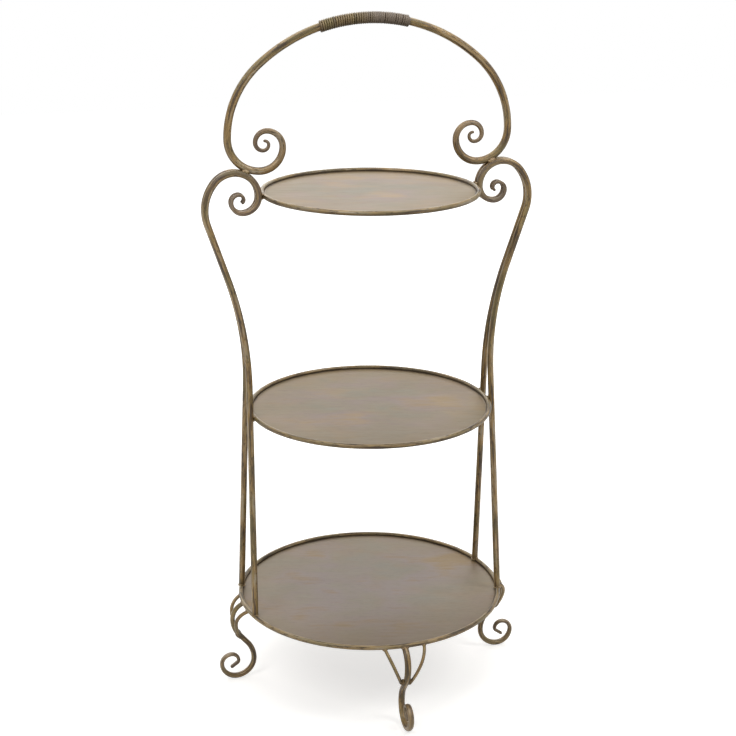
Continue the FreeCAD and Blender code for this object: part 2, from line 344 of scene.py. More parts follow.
rodMaterial = makeRodPaint("umberEnamelRubbedGold", rodPaint)

# The rims were brushed together with the sheets, so they are a little greyer than the free rods
rimPaint = dict(
    rodPaint, fleck=dict(rodPaint["fleck"], length=12.0, width=2.2), fleckFrom=0.53, fleckTo=0.68,
    fleckMost=0.8, brown="#6a583c", gold="#977e52", olive="#7e714c", dust="#92856f",
)
rimMaterial = makeRodPaint("umberEnamelGlazedRim", rimPaint)

# The wound wire took less wax than the rods and keeps more umber
wirePaint = dict(
    rodPaint, streak=dict(rodPaint["streak"], length=70.0, width=30.0),
    patch=dict(rodPaint["patch"], length=150.0, width=40.0), fleckMost=0.0, bumpHeight=0.01,
    brown="#64533a", gold="#806c47", dust="#7d7058", mauve="#6c6057",
)
wireMaterial = makeRodPaint("umberEnamelWoundWire", wirePaint)

# Weld metal under the same enamel: paler, because the wax catches on the lumps
weldPaint = dict(
    rodPaint, streak=dict(rodPaint["streak"], length=3.0, width=3.0),
    umber="#5a4731", brown="#8b7150", gold="#a88c66", dust="#9c876c",
)
weldMaterial = makeRodPaint("umberEnamelOnWeld", weldPaint)
print("rod, wire and weld paints made")


# Steel sheet, dabbed with a thin gold-brown glaze: soft clouds of tan and grey mauve, faint short brush marks
sheetPaint = {
    "brushTurn": -13.0,
    "mark": {"length": 45.0, "width": 7.0, "detail": 3.0, "shift": 0.0},
    "cloud": {"length": 110.0, "width": 80.0, "detail": 2.0, "shift": 12.3},
    "tint": {"length": 75.0, "width": 60.0, "detail": 2.0, "shift": 9.1},
    "dab": {"length": 12.0, "width": 4.5, "detail": 2.0, "shift": 2.7},
    "noiseRoughness": 0.55, "markShare": 0.25, "fray": 0.15,
    "moss": "#706853", "taupe": "#75674f", "rose": "#79675c", "tan": "#866d45",
    "warm": "#7e6a47", "front": "#64533c", "umber": "#2b2013",
    "clouded": {"moss": 0.46, "taupe": 0.58, "rose": 0.70, "tan": 0.84},  # where each colour lies on the clouds
    "tintFrom": 0.48, "tintTo": 0.75, "tintMost": 0.65, "dabFrom": 0.45, "dabTo": 0.75, "dabMost": 0.1,
    # the front part of each sheet is painted darker: painted shade
    "warmFrom": 0.35, "warmMost": 0.6, "frontShadeFrom": 0.15, "frontShadeMost": 0.45,  # from a part of the radius
    # the sheet darkens over its last millimetres under the rim: painted shade in the corner, with some glaze
    "edgeShadeWidth": 1.5, "edgeShadeMost": 0.6,
    "wornFrom": 0.3, "wornTo": 0.7, "roughLow": 0.5, "roughHigh": 0.58,
    "metallic": 0.1, "bumpStrength": 0.3, "bumpHeight": 0.03,
}
# the lower sheet is painted paler and greyer and the top one darker: painted light that evens out how much
# light each shelf gets
sheetTintsAndLight = {
    "lower": {"taupe": "#807565", "rose": "#83756e", "moss": "#7b7465", "warm": "#857150", "warmMost": 0.4,
              "frontShadeMost": 0.68, "tintMost": 0.32},
    "middle": {},
    "top": {"taupe": "#70624b", "rose": "#756255", "moss": "#6c634f", "frontShadeMost": 0.2},
}


def makeSheetPaint(name, look, radius):
    material, tree = newMaterial(name)
    place = addNode(tree, "ShaderNodeTexCoord").outputs["Object"]
    brushed = addNode(tree, "ShaderNodeMapping", None, {
        "Vector": place, "Rotation": (0, 0, -math.radians(look["brushTurn"])),
    }).outputs[0]
    marks, clouds, tints, dabs = (
        brushPattern(tree, brushed, look[kind], look["noiseRoughness"])
        for kind in ("mark", "cloud", "tint", "dab")
    )
    tone = addNode(tree, "ShaderNodeMath", {"operation": "MULTIPLY_ADD"}, {
        0: marks, 1: look["markShare"], 2: clouds,
    }).outputs[0]
    glaze = addNode(tree, "ShaderNodeValToRGB", None, {"Fac": tone}, [
        (at, look[colour]) for colour, at in look["clouded"].items()
    ]).outputs["Color"]
    frayed = addNode(tree, "ShaderNodeMath", {"operation": "MULTIPLY_ADD"}, {
        0: marks, 1: look["fray"], 2: tints,
    }).outputs[0]
    flat = addNode(tree, "ShaderNodeVectorMath", {"operation": "MULTIPLY"}, {
        0: place, 1: (1, 1, 0),
    }).outputs[0]
    reach = addNode(tree, "ShaderNodeVectorMath", {"operation": "LENGTH"}, {0: flat}).outputs["Value"]
    depth = addNode(tree, "ShaderNodeSeparateXYZ", None, {0: place}).outputs["Y"]
    halfFray = look["fray"] / 2
    ends = radius * metres
    shares = {}
    # the front of the sheet and its edge under the rim darken here: painted shade, the edge with some glaze
    for most, value, begin, end in (
        ("tintMost", frayed, look["tintFrom"] + halfFray, look["tintTo"] + halfFray),
        ("warmMost", reach, ends * look["warmFrom"], ends),
        ("frontShadeMost", depth, -ends * look["frontShadeFrom"], -ends),
        ("dabMost", dabs, look["dabFrom"], look["dabTo"]),
        ("edgeShadeMost", reach, ends - look["edgeShadeWidth"] * metres, ends),
    ):
        shares[most] = addNode(tree, "ShaderNodeMapRange", {"interpolation_type": "SMOOTHSTEP"}, {
            "Value": value, "From Min": begin, "From Max": end, "To Min": 0.0, "To Max": look[most],
        }).outputs[0]
    stainAndShade = addNode(tree, "ShaderNodeMath", {"operation": "MAXIMUM"}, {
        0: shares["edgeShadeMost"], 1: shares["dabMost"],
    }).outputs[0]
    colour = glaze
    for share, coat in (
        (shares["tintMost"], "tan"), (shares["warmMost"], "warm"),
        (shares["frontShadeMost"], "front"), (stainAndShade, "umber"),
    ):
        colour = addNode(tree, "ShaderNodeMix", {"data_type": "RGBA"}, {
            0: share, 6: colour, 7: hexToLinear(look[coat]),
        }).outputs[2]
    roughness = addNode(tree, "ShaderNodeMapRange", None, {
        "Value": marks, "From Min": look["wornFrom"], "From Max": look["wornTo"],
        "To Min": look["roughLow"], "To Max": look["roughHigh"],
    }).outputs[0]
    finishPaint(tree, look, colour, look["metallic"], roughness, marks)
    return material


# Shelves: the plates stay as packed. Each rim is a ring of rod, pressed slightly oval when it was rolled
rims = {
    "width": 6.5, "height": 7.3, "seed": 1, "outerShade": {"lower": 0.0, "middle": 0.55, "top": 0.75},
    "innerAim": -22.0, "innerReach": 39.0, "innerSoft": 18.0,  # degrees round the rod, where the painted shade and umber lie
    "outerAim": 40.0, "outerReach": 55.0, "outerSoft": 30.0,
    "breakMiddle": 0.7, "breakSpread": 0.6, "breakLength": 25.0,
}
shelves = {}
for level in ("lower", "middle", "top"):
    low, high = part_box(level + "_shelf_rim")
    shelves[level] = {
        "radius": (high.x - low.x) / 2 / metres,
        "height": (high.z + low.z) / 2 / metres,
        "rod": (high.z - low.z) / metres,
        "circle": (high.x - low.x) / 2 / metres - rims["width"] / 2,
    }
    plateLow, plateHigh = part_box(level + "_shelf_plate")
    shelves[level]["plateRadius"] = (plateHigh.x - plateLow.x) / 2 / metres
    shelves[level]["plateTop"] = plateHigh.z / metres
contacts = []


def rimRing(level, seed):
    shelf = shelves[level]
    circle = shelf["circle"]
    count = round(2 * math.pi * circle / sweep["ringStep"])
    points = []
    for n in range(count):
        angle = math.pi / 2 + 2 * math.pi * n / count
        points.append(Vector((circle * math.cos(angle), circle * math.sin(angle), shelf["height"])))

    def rimShadeSides(at, total, angle):
        # the sweep starts outward and goes round by way of the underside
        inward = math.degrees(math.atan2(-math.sin(angle), -math.cos(angle)))
        below = math.degrees(math.atan2(math.sin(angle), math.cos(angle)))
        wave = noise.noise(Vector((at / rims["breakLength"], seed, 0)))
        broken = rims["breakMiddle"] + rims["breakSpread"] * wave
        # the inner side facing the plate and the outer underside are darkened: painted shade, the inner one
        # with some real glaze in the corner
        inner = clamped((rims["innerReach"] - abs(inward - rims["innerAim"])) / rims["innerSoft"])
        outer = clamped((rims["outerReach"] - abs(below - rims["outerAim"])) / rims["outerSoft"])
        return max(inner, min(1.0, rims["outerShade"][level] * broken * outer)), 0.0

    data = sweepRod(points, [1.0] * count, rims["width"], rims["height"], (0, 1, 0), seed, closed=True,
                    shade=rimShadeSides)
    return finishMesh(level + "_rim_ring", *data, rimMaterial, "rod", [level + "_shelf_rim"])


# Glaze that ran into the corner between plate and rim: a hollow fillet all round, darkest at the rim and paler
# towards the plate, painted shade over some real glaze
fillet = {
    "rise": 1.4, "spread": 1.9, "bury": 0.4, "steps": 6, "seed": 5, "fade": 0.8,
    "waveMiddle": 1.1, "waveSpread": 0.15, "waves": 9.0,
}


def cornerGlazeShade(level, seed):
    shelf = shelves[level]
    circle = shelf["circle"]
    plateTop = shelf["plateTop"]
    foot = circle - rims["width"] / 2 - fillet["spread"]
    wallZ = plateTop + fillet["rise"]
    wall = circle - rims["width"] / 2 * math.sqrt(1 - ((wallZ - shelf["height"]) / (rims["height"] / 2)) ** 2)
    section = [(wall + fillet["bury"], plateTop - fillet["bury"]), (wall + fillet["bury"], wallZ)]
    for n in range(fillet["steps"] + 1):
        angle = math.pi / 2 * n / fillet["steps"]
        reach = wall - (wall - foot) * (1 - math.cos(angle))
        section.append((reach, wallZ - fillet["rise"] * math.sin(angle)))
    section.append((foot, plateTop - fillet["bury"]))
    count = round(2 * math.pi * circle / sweep["ringStep"])
    size = len(section)
    verts, faces, space, shades = [], [], [], []
    for i in range(count):
        turn = 2 * math.pi * i / count
        uneven = noise.noise(Vector((math.cos(turn), math.sin(turn), seed)) * fillet["waves"])
        wave = fillet["waveMiddle"] + fillet["waveSpread"] * uneven
        for reach, z in section:
            reach = wall - (wall - reach) * wave if reach < wall else reach
            verts.append(Vector((reach * math.cos(turn), reach * math.sin(turn), z)))
            space.append((seed * sweep["apart"] + turn * circle, reach - circle, z - plateTop))
            # dark at the wall, fading towards the plate: painted shade in the corner
            shades.append((1.0 - fillet["fade"] * max(0.0, (wall - reach) / (wall - foot)), 0.0))
        for n in range(size):
            here, there = i * size, (i + 1) % count * size
            m = (n + 1) % size
            faces.append((here + n, there + n, there + m, here + m))
    return finishMesh(level + "_rim_glaze_and_shade", verts, faces, space, shades, rimMaterial, "rod")


pieces = []
for order, level in enumerate(shelves):
    pieces.append(rimRing(level, rims["seed"] + order))
    pieces.append(cornerGlazeShade(level, fillet["seed"] + order))
    look = dict(sheetPaint, **sheetTintsAndLight[level])
    sheet = makeSheetPaint("brushedGlazedSheet_" + level, look, shelves[level]["plateRadius"])
    plate = nodes[level + "_shelf_plate"]
    plate.data.materials.clear()
    plate.data.materials.append(sheet)
print("shelf rims and plates dressed")


# Uprights: two rods a side, from the scroll beside the top rim down to the lower rim
uprights = {
    "diameter": 9.8, "tip": 4.0, "stance": 56.5, "sink": 1.0, "weldGap": 0.2, "waistShare": 0.39,
    "flankRadius": 65.0, "shoulderRadius": 37.0, "shoulderTurn": 50.0,
    "curlRadius": 35.5, "curlShrink": 0.68, "curlQuarters": 4.6,
    "seed": 11, "wornEnd": {"length": 220.0, "umber": 0.35, "dull": 0.6},
}
pairOffset = (uprights["diameter"] + uprights["weldGap"]) / 2
uprightReach = uprights["diameter"] / 2 + uprights["weldGap"]
curlInner = math.sqrt((shelves["top"]["radius"] + uprightReach) ** 2 - pairOffset**2)
curlCentre = Vector((curlInner + uprights["curlRadius"], 0, shelves["top"]["height"]))
umberPart = 0.3  # umber stays on this part of a scroll's worn end, nearest the tip


def scrollEnd(wornEnd):
    umberLength = wornEnd["length"] * umberPart

    def shade(at, total, angle):
        left = total - at
        umber = wornEnd["umber"] * max(0.0, 1 - left / umberLength)
        return umber, wornEnd["dull"] * max(0.0, 1 - left / wornEnd["length"])
    return shade


def uprightPath():
    lower, middle, top = shelves["lower"], shelves["middle"], shelves["top"]
    circle = lower["radius"] - lower["rod"] / 2
    footX = math.sqrt(circle**2 - uprights["stance"]**2)
    foot = Vector((footX, uprights["stance"], lower["height"] + uprights["sink"]))
    waistHeight = middle["height"] + uprights["waistShare"] * (top["height"] - middle["height"])
    rise = (middle["height"] - foot.z) / (waistHeight - foot.z)
    middleY = uprights["stance"] + (pairOffset - uprights["stance"]) * rise
    middleX = math.sqrt((middle["radius"] + uprightReach) ** 2 - middleY**2)
    waist = Vector((foot.x + (middleX - foot.x) / rise, pairOffset, waistHeight))
    leg = (waist - foot).normalized()
    shoulderEnd = 180.0 - uprights["shoulderTurn"]
    flankCentre = curlCentre + Vector((0, 0, uprights["curlRadius"] - uprights["shoulderRadius"]))
    flankCentre -= heading(shoulderEnd - 90) * (uprights["flankRadius"] - uprights["shoulderRadius"])
    toFlank = flankCentre - Vector((waist.x, 0, waist.z))
    aim = math.atan2(toFlank.z, toFlank.x)
    flankHeading = math.degrees(aim - math.asin(uprights["flankRadius"] / toFlank.length))
    flankLength = math.sqrt(toFlank.length**2 - uprights["flankRadius"]**2) / 2
    waistRadius = flankLength / math.tan(leg.angle(heading(flankHeading)) / 2)
    path = startPath(foot, leg)
    runStraight(path, (waist - foot).length - flankLength)
    bendTo(path, heading(flankHeading), waistRadius)
    runStraight(path, flankLength)
    bendTo(path, heading(shoulderEnd), uprights["flankRadius"])
    bendTo(path, heading(180), uprights["shoulderRadius"])
    bendTo(path, heading(270), uprights["curlRadius"])
    firstThin = len(path["points"]) - 1
    shrink = uprights["curlShrink"]
    curl(path, 270, 90, uprights["curlRadius"] * shrink, shrink, uprights["curlQuarters"])
    scales = taperFrom(path["points"], firstThin, uprights["tip"] / uprights["diameter"])
    spots = {
        "lower": foot,
        "middle": Vector((middleX, middleY, middle["height"])),
        "top": Vector((curlInner, pairOffset, top["height"])),
        "leg": leg,
    }
    return path["points"], scales, spots


rodPoints, rodScales, rodSpots = uprightPath()
rodSides = {"right_rear": (1, 1), "right_front": (1, -1), "left_rear": (-1, 1), "left_front": (-1, -1)}
for order, (side, (x, y)) in enumerate(rodSides.items()):
    data = sweepRod(
        mirrored(rodPoints, x, y), rodScales, uprights["diameter"], uprights["diameter"], (0, 1, 0),
        uprights["seed"] + order, roundEnds=(False, True), shade=scrollEnd(uprights["wornEnd"]),
    )
    pieces.append(finishMesh("upright_rod_" + side, *data, rodMaterial, "rod", ["upright_" + side]))
print("uprights swept")


# Handle: an arch of thicker rod whose ends curl up, standing in the groove between the side scrolls
handle = {
    "diameter": 11.5, "tip": 4.4, "tipBulge": 1.5, "halfWidth": 212.5, "sideRadius": 140.0, "sideTurn": 48.75,
    "heelRadius": 47.0, "curlRadius": 34.0, "curlShrink": 0.7, "curlQuarters": 6,
    "seed": 21, "wornEnd": {"length": 200.0, "umber": 0.35, "dull": 0.55},
}
grooveReach = (handle["diameter"] + uprights["diameter"]) / 2 + uprights["weldGap"]
groove = math.sqrt(grooveReach**2 - pairOffset**2)
heelX = handle["halfWidth"] - handle["heelRadius"]
heelReach = handle["heelRadius"] + uprights["curlRadius"] + groove
heelCentre = Vector((heelX, 0, curlCentre.z + math.sqrt(heelReach**2 - (curlCentre.x - heelX) ** 2)))
archTurn = 90.0 - handle["sideTurn"]
archShare = heading(archTurn)
crownRadius = handle["sideRadius"] + (handle["halfWidth"] - handle["sideRadius"]) / archShare.z
crownTop = heelCentre.z + crownRadius - (crownRadius - handle["sideRadius"]) * archShare.x


def handlePath():
    path = startPath((0, 0, crownTop), heading(0))
    bendTo(path, heading(-archTurn), crownRadius)
    bendTo(path, heading(-90), handle["sideRadius"])
    bendTo(path, heading(-180), handle["heelRadius"])
    firstThin = len(path["points"]) - 1
    curl(path, -180, -90, handle["curlRadius"], handle["curlShrink"], handle["curlQuarters"])
    scales = taperFrom(path["points"], firstThin, handle["tip"] / handle["diameter"], handle["tipBulge"])
    points = mirrored(path["points"], x=-1)[::-1] + path["points"][1:]
    return points, scales[::-1] + scales[1:]


def bothEnds(at, total, angle):
    return scrollEnd(handle["wornEnd"])(max(at, total - at), total, angle)


archPoints, archScales = handlePath()
data = sweepRod(archPoints, archScales, handle["diameter"], handle["diameter"], (0, 1, 0), handle["seed"],
                shade=bothEnds)
pieces.append(finishMesh("handle_arch_rod", *data, rodMaterial, "rod", ["handle_arch"]))

# Grip: hand-wound wire. The first turns stand apart, later ones touch and enamel has filled between them
grip = {
    "wire": 2.9, "offset": -9.8, "openTurns": 20, "openPitch": 3.4, "closeTurns": 20, "closePitch": 3.06,
    "gaps": {21: 0.4, 28: 0.8, 33: 0.6, 36: 0.8},  # after these turns the wire skips a little
    "unevenness": 0.15, "lift": 0.1, "tuck": 2.4, "tuckTurn": 0.12, "start": 200.0, "endTurn": 0.4,
    "sides": 12, "pointsPerTurn": 28, "seed": 4, "wireSeed": 22, "fillSeed": 23,
    "openFill": 0.25, "closeFill": 0.86, "fillStep": 0.5, "gapRise": 0.4, "fillUneven": 0.06, "fillWave": 4.0,
    "dullFrom": 0.38, "dullOver": 0.22, "dullMost": 0.75,  # along the grip, from hand-rubbed to dull
    # the underside of the winding is painted darker: painted shade; the enamel between the turns is dark umber
    # with painted shade in the grooves
    "underside": 0.7, "undersideFrom": 0.1, "fillUmberAndShade": 0.95, "fillFade": 0.65,
}


def gripTurns():
    draw = random.Random(grip["seed"])
    starts = [0.0]
    for n in range(grip["openTurns"] + grip["closeTurns"]):
        isOpen = n < grip["openTurns"]
        pitch = grip["openPitch"] if isOpen else grip["closePitch"]
        shift = draw.uniform(-1, 1) * grip["unevenness"] if isOpen else 0.0
        starts.append(starts[-1] + pitch + shift + grip["gaps"].get(n, 0.0))
    lifts = [draw.uniform(0, 1) * grip["lift"] for _ in starts]
    return starts, lifts


gripStarts, gripLifts = gripTurns()
gripLength = gripStarts[-1]
gripCentre = Vector((0, 0, crownTop - crownRadius))


def gripPlace(along, reach, spin):
    tilt = (grip["offset"] - gripLength / 2 + along) / crownRadius
    out = Vector((math.sin(tilt), 0, math.cos(tilt)))
    return gripCentre + out * (crownRadius + reach * math.cos(spin)) + Vector((0, reach * math.sin(spin), 0))


def gripDull(along):
    return clamped((along / gripLength - grip["dullFrom"]) / grip["dullOver"])


# darker on the underside of the grip: painted shade
def gripUndersideShade(height):
    return grip["underside"] * max(0.0, grip["undersideFrom"] - height)


def gripWire():
    turns = len(gripStarts) - 1
    count = round((turns + 2 * grip["endTurn"]) * grip["pointsPerTurn"])
    points = []
    for n in range(count + 1):
        exact = (turns + 2 * grip["endTurn"]) * n / count - grip["endTurn"]
        wound = min(max(exact, 0.0), turns)  # at both ends the wire lies as a plain ring
        turn = min(int(wound), turns - 1)
        part = wound - turn
        along = gripStarts[turn] + (gripStarts[turn + 1] - gripStarts[turn]) * part
        lift = gripLifts[turn] + (gripLifts[turn + 1] - gripLifts[turn]) * part
        fromEnd = min(n, count - n) / grip["pointsPerTurn"]
        sink = grip["tuck"] * max(0.0, 1 - fromEnd / grip["tuckTurn"])  # both ends go under
        spin = math.radians(grip["start"]) + 2 * math.pi * exact
        points.append(gripPlace(along, (handle["diameter"] + grip["wire"]) / 2 + lift - sink, spin))
    return points


def gripShade(at, total, angle):
    turns = len(gripStarts) - 1 + 2 * grip["endTurn"]
    spin = math.radians(grip["start"]) + 2 * math.pi * (turns * at / total - grip["endTurn"])
    return gripUndersideShade(math.cos(spin)), grip["dullMost"] * gripDull(at / total * gripLength)


wirePoints = gripWire()
data = sweepRod(wirePoints, [1.0] * len(wirePoints), grip["wire"], grip["wire"], (1, 0, 0), grip["wireSeed"],
                sides=grip["sides"], dents=False, shade=gripShade)
pieces.append(finishMesh("handle_grip_winding", *data, wireMaterial, "grip_wire", ["handle_wire_wrap"]))


def gripFill():
    count = round((gripLength - grip["wire"]) / grip["fillStep"])
    points, scales = [], []
    for n in range(count + 1):
        along = grip["wire"] / 2 + (gripLength - grip["wire"]) * n / count
        fill = grip["openFill"] + (grip["closeFill"] - grip["openFill"]) * gripDull(along)
        for turn in grip["gaps"]:
            gap = abs(along - gripStarts[turn + 1]) / grip["wire"]
            fill = min(fill, grip["openFill"] + grip["gapRise"] * gap)
        fill += grip["fillUneven"] * noise.noise(Vector((along / grip["fillWave"], 0, 0)))
        points.append(gripPlace(along, 0.0, 0.0))
        scales.append(1 + 2 * grip["wire"] * fill / handle["diameter"])
    return points, scales


def fillShade(at, total, angle):
    dull = gripDull(at / total * gripLength)
    umber = max(grip["fillUmberAndShade"] - grip["fillFade"] * dull, gripUndersideShade(math.sin(angle)))
    return umber, grip["dullMost"] * dull


fillPoints, fillScales = gripFill()
data = sweepRod(fillPoints, fillScales, handle["diameter"], handle["diameter"], (0, 1, 0), grip["fillSeed"],
                roundEnds=(False, False), dents=False, shade=fillShade)
pieces.append(finishMesh("handle_grip_enamel", *data, wireMaterial, "grip_wire"))
print("handle and its winding made")


# Feet: flattened bar bowed out from under the rim and rolled into a scroll, with two thin braces each
feet = {
    "width": 10.0, "thickness": 8.4, "topFlat": 0.76, "tipShare": 0.85, "tipFlat": 0.68,
    "startDrop": 3.5, "startAngle": 70.0, "kneeRadius": 28.0, "shin": 20.0, "lean": 40.0,
    "heelRadius": 29.0, "toeRadius": 23.0, "instepRadius": 15.5, "innerRadius": 11.5,
    "tailRadius": 5.0, "tailTurn": 55.0, "tail": 11.0,
    "brace": 5.0, "braceDepth": 5.9, "braceSpread": 30.5, "braceSides": 20,
    "seed": 31, "braceSeed": 41, "wornEnd": {"length": 120.0, "umber": 0.3, "dull": 0.5},
}
lowerCircle = shelves["lower"]["radius"] - shelves["lower"]["rod"] / 2
footStart = Vector((lowerCircle, 0, shelves["lower"]["height"] - feet["startDrop"]))


def footPath():
    lean = math.radians(feet["lean"])
    drops = (
        feet["kneeRadius"] * math.sin(math.radians(feet["startAngle"])) + feet["shin"] * math.cos(lean)
        + feet["heelRadius"] + feet["thickness"] / 2
    )
    bow = (footStart.z - drops) / (2 * math.sin(lean))
    path = startPath(footStart, heading(feet["startAngle"] - 90))
    bendTo(path, heading(-90), feet["kneeRadius"])
    bendTo(path, heading(-90 - feet["lean"]), bow)
    bowEnd = path["points"][-1]
    firstThick = len(path["points"]) - 1
    runStraight(path, feet["shin"])
    bendTo(path, heading(-90), bow)
    bendTo(path, heading(0), feet["heelRadius"])
    firstThin = len(path["points"]) - 1
    bendTo(path, heading(90), feet["toeRadius"])
    bendTo(path, heading(180), feet["instepRadius"])
    bendTo(path, heading(270), feet["innerRadius"])
    bendTo(path, heading(270 + feet["tailTurn"]), feet["tailRadius"])
    runStraight(path, feet["tail"])
    lengths = lengthsAlong(path["points"])
    swells = [min(1.0, at / lengths[firstThick]) for at in lengths]
    thins = taperFrom(path["points"], firstThin, feet["tipFlat"])
    flats = [(feet["topFlat"] + (1 - feet["topFlat"]) * swell) * thin for swell, thin in zip(swells, thins)]
    return path["points"], taperFrom(path["points"], firstThin, feet["tipShare"]), flats, bowEnd


def bracePath(bowEnd):
    endY = (feet["width"] + feet["brace"]) / 2 + uprights["weldGap"]
    spread = feet["braceSpread"]
    start = Vector((math.sqrt(lowerCircle**2 - spread**2), spread, footStart.z))
    down = Vector((0, endY - spread, bowEnd.z - footStart.z))
    slant = down.length
    down.normalize()
    outward = Vector((1, 0, 0))
    angle = math.radians(feet["startAngle"])
    path = startPath(start, outward * math.sin(angle) + down * math.cos(angle))
    bendTo(path, down, feet["kneeRadius"])
    fall = slant - feet["kneeRadius"] * math.sin(angle)
    lean = 2 * math.atan2(path["points"][-1].x - bowEnd.x, fall)
    bendTo(path, down * math.cos(lean) - outward * math.sin(lean), abs(fall / math.sin(lean)))
    return path["points"]


footPoints, footScales, footFlats, bowEnd = footPath()
bracePoints = bracePath(bowEnd)
footPlaces = {
    "right": (0, "rear", "front"), "rear": (90, "left", "right"),
    "left": (180, "front", "rear"), "front": (270, "right", "left"),
}
for order, (place, (degrees, braceSide, otherSide)) in enumerate(footPlaces.items()):
    data = sweepRod(
        turned(footPoints, degrees), footScales, feet["width"], feet["thickness"],
        turned([Vector((0, 1, 0))], degrees)[0], feet["seed"] + order, roundEnds=(False, True),
        shade=scrollEnd(feet["wornEnd"]), flats=footFlats,
    )
    pieces.append(finishMesh("scroll_foot_" + place, *data, rodMaterial, "rod", ["foot_" + place]))
    for n, (name, y) in enumerate(((braceSide, 1), (otherSide, -1))):
        points = turned(mirrored(bracePoints, y=y), degrees)
        data = sweepRod(
            points, [1.0] * len(points), feet["braceDepth"], feet["brace"], (0, 0, 1),
            feet["braceSeed"] + order * 2 + n, roundEnds=(False, True), sides=feet["braceSides"],
        )
        pieces.append(finishMesh("foot_brace_rod_" + place + "_" + name, *data, rodMaterial, "rod",
                                 ["foot_brace_" + place + "_" + name]))
print("feet and braces swept")


# Welds: lumps where the handle stands on the scrolls, beads beside the rims, collars where rods run into a rim
welds = {
    "handle": (12.0, 9.0, 7.5), "rim": (6.5, 3.6, 3.4), "brace": (13.0, 5.6, 6.0),
    "handleOut": 1.8, "rimUp": 3.0, "braceBack": 2.0, "braceOut": 0.4, "braceApart": 1.4, "braceDark": 0.6,
    "collar": 2.4, "collarPoints": 30, "collarSides": 12, "collarStep": 0.1, "collarWave": 0.4,
    "roughness": 0.2, "lumpSize": 1.8, "ballCuts": 4, "shiftMost": 99.0, "paintApart": 10.0,
    "handleSeed": 1, "rimSeed": 2, "braceSeed": 4,
    "legCollarSeed": 51, "footCollarSeed": 52, "braceCollarSeed": 53,
}
# how far the umber and painted shade reach round each kind of contact, and how much of it is there at the
# middle
contactUmberAndShade = {"handle": 10.0, "rim": 8.0, "leg": 9.0, "legUp": 3.0, "brace": 9.0, "most": 0.85}


def weldLumps(spots, seed, shade=plain):
    # each spot is a place, the long direction, the direction it stands out in, and its three sizes
    draw = random.Random(seed)
    ball = bmesh.new()
    bmesh.ops.create_icosphere(ball, subdivisions=welds["ballCuts"], radius=1.0)
    shape = [v.co.copy() for v in ball.verts]
    skin = [[v.index for v in f.verts] for f in ball.faces]
    ball.free()
    verts, faces, space = [], [], []
    for place, along, out, (length, width, height) in spots:
        along = along.normalized()
        out = (out - along * along.dot(out)).normalized()
        side = out.cross(along)
        shift = Vector([draw.uniform(0, welds["shiftMost"]) for _ in range(3)])
        first = len(verts)
        for v in shape:
            swell = 1 + welds["roughness"] * noise.noise(v * welds["lumpSize"] + shift)
            p = (along * v.x * length + side * v.y * width + out * v.z * height) / 2 * swell
            verts.append(place + p)
            space.append(p + shift * welds["paintApart"])
        faces += [[first + i for i in face] for face in skin]
    return verts, faces, space, [shade] * len(verts)


def weldCollar(start, direction, across, width, thickness, seed):
    # follows the line where the rod leaves the lower rim
    circle, rimHeight = shelves["lower"]["circle"], shelves["lower"]["height"]
    across = (across - direction * direction.dot(across)).normalized()
    other = direction.cross(across)

    def outside(p):
        outward, upward = math.hypot(p.x, p.y) - circle, p.z - rimHeight
        return math.hypot(outward / rims["width"], upward / rims["height"]) > 0.5

    points = []
    for n in range(welds["collarPoints"]):
        angle = 2 * math.pi * n / welds["collarPoints"]
        p = start + across * (width / 2 * math.cos(angle)) + other * (thickness / 2 * math.sin(angle))
        while not outside(p):
            p = p + direction * welds["collarStep"]
        points.append(p)
    scales = [1 + welds["roughness"] * noise.noise(p * welds["collarWave"]) for p in points]
    return sweepRod(points, scales, welds["collar"], welds["collar"], direction, seed, closed=True,
                    sides=welds["collarSides"], dents=False)


def allSides(place, along, out, size):
    return [(*mirrored([place, along, out], x, y), size) for x, y in rodSides.values()]


def contactsOnAllSides(place, reach):
    return [(mirrored([place], x, y)[0], reach) for x, y in rodSides.values()]


between = (heelCentre - curlCentre).normalized()
handleMiddle = curlCentre + between * (uprights["curlRadius"] + groove)
rodMiddle = curlCentre + between * uprights["curlRadius"] + Vector((0, pairOffset, 0))
toHandle = (handleMiddle - rodMiddle).normalized()
touch = rodMiddle + toHandle * (uprights["diameter"] + uprights["weldGap"]) / 2
along = between.cross(Vector((0, 1, 0)))
out = along.cross(toHandle)
out = out if out.y > 0 else -out
data = weldLumps(allSides(touch + out * welds["handleOut"], along, out, welds["handle"]), welds["handleSeed"])
pieces.append(finishMesh("handle_weld_lumps", *data, weldMaterial, "weld_bead", ["handle_welds"]))
contacts += contactsOnAllSides(touch, contactUmberAndShade["handle"])

# Beads above and below each place where an upright passes a rim
rimSpots = []
for level in ("top", "middle"):
    spot = rodSpots[level]
    radial = Vector((spot.x, spot.y, 0)).normalized()
    seat = radial * shelves[level]["radius"] + Vector((0, 0, spot.z))
    tangent = Vector((-radial.y, radial.x, 0))
    for up in (1, -1):
        rimSpots += allSides(seat + Vector((0, 0, up * welds["rimUp"])), tangent, radial, welds["rim"])
    contacts += contactsOnAllSides(seat, contactUmberAndShade["rim"])
data = weldLumps(rimSpots, welds["rimSeed"])
pieces.append(finishMesh("rim_weld_beads", *data, weldMaterial, "weld_bead"))

